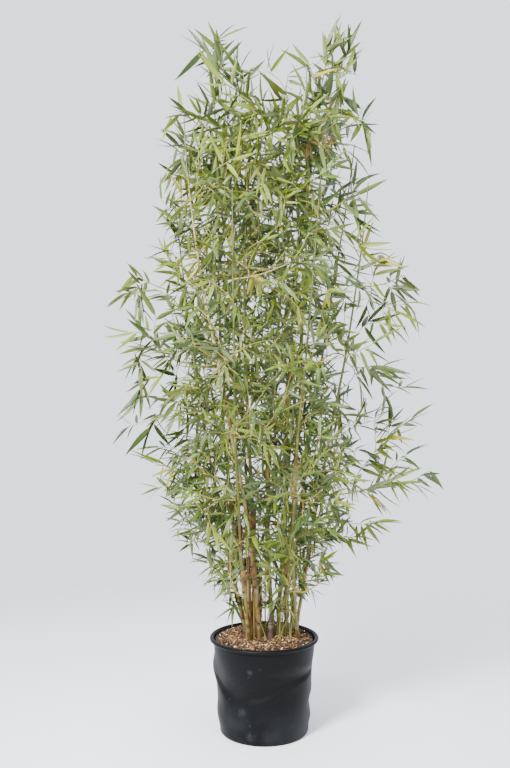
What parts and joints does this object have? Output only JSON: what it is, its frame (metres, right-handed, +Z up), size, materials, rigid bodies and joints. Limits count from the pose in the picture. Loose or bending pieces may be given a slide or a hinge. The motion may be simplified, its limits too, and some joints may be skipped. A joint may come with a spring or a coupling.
{
  "type": "potted bamboo",
  "caption": "Clump of slender jointed bamboo canes with narrow green leaves, growing in a round black plastic pot filled with bark-covered soil.",
  "frame": {"origin": "centre of the pot's flat underside, on the surface it stands on", "axes": "+Z up along the canes, +X to the viewer's right in the picture, -Y towards the viewer"},
  "size_m": [0.8241, 0.6402, 1.7089],
  "materials": {
    "pot": "satin",
    "soil": "matte",
    "cane": "satin",
    "straw_cane": "satin",
    "foliage": "matte"
  },
  "bodies": {
    "root": {"pot": "pot", "soil": "soil", "cane_stump": "cane", "cane_left_leader": "cane", "cane_right_leader": "cane", "cane_middle": "cane", "cane_bunched": "cane", "cane_straw": "straw_cane", "cane_right_thin": "cane", "cane_right_second": "cane", "cane_right_outer": "cane", "cane_left_outer": "cane", "cane_front_left": "cane", "cane_front_right": "cane", "cane_back_left": "cane", "cane_back_right": "cane", "foliage_front_left_1": "foliage", "foliage_back_right_1": "foliage", "foliage_front_right_1": "foliage", "foliage_back_left_1": "foliage", "foliage_front_left_2": "foliage", "foliage_back_right_2": "foliage", "foliage_back_left_2": "foliage", "foliage_front_right_2": "foliage", "foliage_right_second_2": "foliage", "foliage_right_outer_2": "foliage", "foliage_front_left_3": "foliage", "foliage_back_right_3": "foliage", "foliage_front_right_3": "foliage", "foliage_left_leader_3": "foliage", "foliage_front_left_4": "foliage", "foliage_back_right_4": "foliage", "foliage_front_right_4": "foliage", "foliage_back_left_4": "foliage", "foliage_left_outer_4": "foliage", "foliage_right_outer_4": "foliage", "foliage_straw_4": "foliage", "foliage_back_right_5": "foliage", "foliage_front_left_5": "foliage", "foliage_right_outer_5": "foliage", "foliage_left_outer_5": "foliage", "foliage_straw_5": "foliage", "foliage_back_right_6": "foliage", "foliage_back_left_6": "foliage", "foliage_straw_6": "foliage", "foliage_left_leader_6": "foliage", "foliage_right_thin_6": "foliage", "foliage_left_leader_7": "foliage", "foliage_right_leader_7": "foliage", "foliage_right_thin_7": "foliage", "foliage_middle_7": "foliage"}
  },
  "joints": []
}
